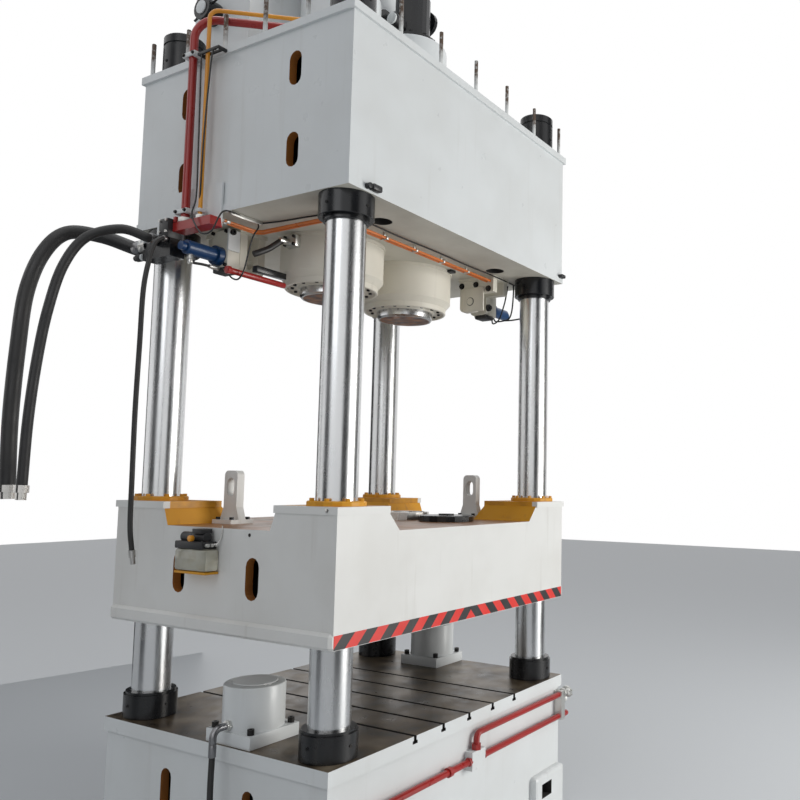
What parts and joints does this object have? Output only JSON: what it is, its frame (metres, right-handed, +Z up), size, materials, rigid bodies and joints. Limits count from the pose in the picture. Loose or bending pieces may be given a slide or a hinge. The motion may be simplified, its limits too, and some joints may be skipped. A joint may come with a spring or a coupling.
{
  "type": "four-column hydraulic press",
  "caption": "Four-column hydraulic press with twin main rams, a guided slide, a T-slotted bed, slide locks, levelling cylinders, oil tank and hoses.",
  "frame": {"origin": "centre of the bed's underside", "axes": "+Z up, +X to the right along the long side, +Y to the rear; the side with the red oil pipes faces -Y"},
  "size_m": [3.549, 2.3925, 7.1203],
  "materials": {
    "white_paint": "semi-gloss white enamel, dirty",
    "cream_paint": "semi-gloss cream enamel",
    "orange_primer": "matt red-orange primer",
    "red_paint": "semi-gloss red enamel",
    "blue_paint": "semi-gloss blue enamel",
    "black_oxide": "black oxide, oiled",
    "polished_chrome": "polished hard chrome",
    "machined_steel": "machined, oily",
    "rusty_steel": "oily with brown rust",
    "black_rubber": "matt",
    "clear_plastic": "translucent"
  },
  "bodies": {
    "frame": {"bed_frame": "white_paint", "bolster_plate": "machined_steel", "column_front_left": "polished_chrome", "column_front_right": "polished_chrome", "column_rear_left": "polished_chrome", "column_rear_right": "polished_chrome", "bed_nut_front_left": "black_oxide", "bed_nut_front_right": "black_oxide", "bed_nut_rear_left": "black_oxide", "bed_nut_rear_right": "black_oxide", "crown_nut_front_left": "black_oxide", "crown_nut_front_right": "black_oxide", "crown_nut_rear_left": "black_oxide", "crown_nut_rear_right": "black_oxide", "crown_frame": "cream_paint", "cylinder_left": "cream_paint", "cylinder_right": "cream_paint", "gland_left": "cream_paint", "gland_right": "cream_paint", "cylinder_nut_left": "black_oxide", "cylinder_nut_right": "black_oxide", "prefill_valve_left": "black_oxide", "prefill_valve_right": "black_oxide", "oil_tank": "cream_paint", "lock_bracket_left": "cream_paint", "lock_bracket_right": "cream_paint", "lock_cylinder_left": "blue_paint", "lock_cylinder_right": "blue_paint", "levelling_cylinder_left": "black_oxide", "levelling_cylinder_right": "black_oxide", "pressure_pipe": "red_paint", "pilot_pipe": "orange_primer", "twin_pipes": "orange_primer", "valve_manifold": "red_paint", "bed_pipes_right": "red_paint", "bed_pipe_left": "red_paint", "return_hose": "black_rubber", "return_hose_end": "machined_steel", "feed_hose": "black_rubber", "feed_hose_end": "machined_steel", "drain_hose": "black_rubber", "drain_hose_end": "machined_steel", "levelling_hose": "black_rubber", "levelling_hose_end": "machined_steel"},
    "slide": {"slide_frame": "white_paint", "guide_cap_front_left": "orange_primer", "guide_cap_front_right": "orange_primer", "guide_cap_rear_left": "orange_primer", "guide_cap_rear_right": "orange_primer", "lock_lug_left": "cream_paint", "lock_lug_right": "cream_paint", "ram_flange": "black_oxide", "lube_pump": "black_oxide", "lube_reservoir": "clear_plastic"},
    "main_ram_left": {"ram_left": "rusty_steel"},
    "main_ram_right": {"ram_right": "rusty_steel"},
    "left_levelling_ram": {"levelling_ram_left": "machined_steel"},
    "right_levelling_ram": {"levelling_ram_right": "machined_steel"},
    "left_lock_pin": {"lock_pin_left": "polished_chrome"},
    "right_lock_pin": {"lock_pin_right": "polished_chrome"}
  },
  "joints": [
    {"name": "slide_travel", "type": "slide", "parent": "frame", "child": "slide", "axis": [0, 0, 1], "range_m": [-0.25, 1.57]},
    {"name": "ram_stroke_left", "type": "slide", "parent": "frame", "child": "main_ram_left", "axis": [0, 0, 1], "range_m": [-1.57, 0]},
    {"name": "ram_stroke_right", "type": "slide", "parent": "frame", "child": "main_ram_right", "axis": [0, 0, 1], "range_m": [-1.57, 0]},
    {"name": "levelling_stroke_left", "type": "slide", "parent": "frame", "child": "left_levelling_ram", "axis": [0, 0, 1], "range_m": [0, 0.25]},
    {"name": "levelling_stroke_right", "type": "slide", "parent": "frame", "child": "right_levelling_ram", "axis": [0, 0, 1], "range_m": [0, 0.25]},
    {"name": "lock_stroke_left", "type": "slide", "parent": "frame", "child": "left_lock_pin", "axis": [1, 0, 0], "range_m": [0, 0.155]},
    {"name": "lock_stroke_right", "type": "slide", "parent": "frame", "child": "right_lock_pin", "axis": [-1, 0, 0], "range_m": [0, 0.155]}
  ]
}
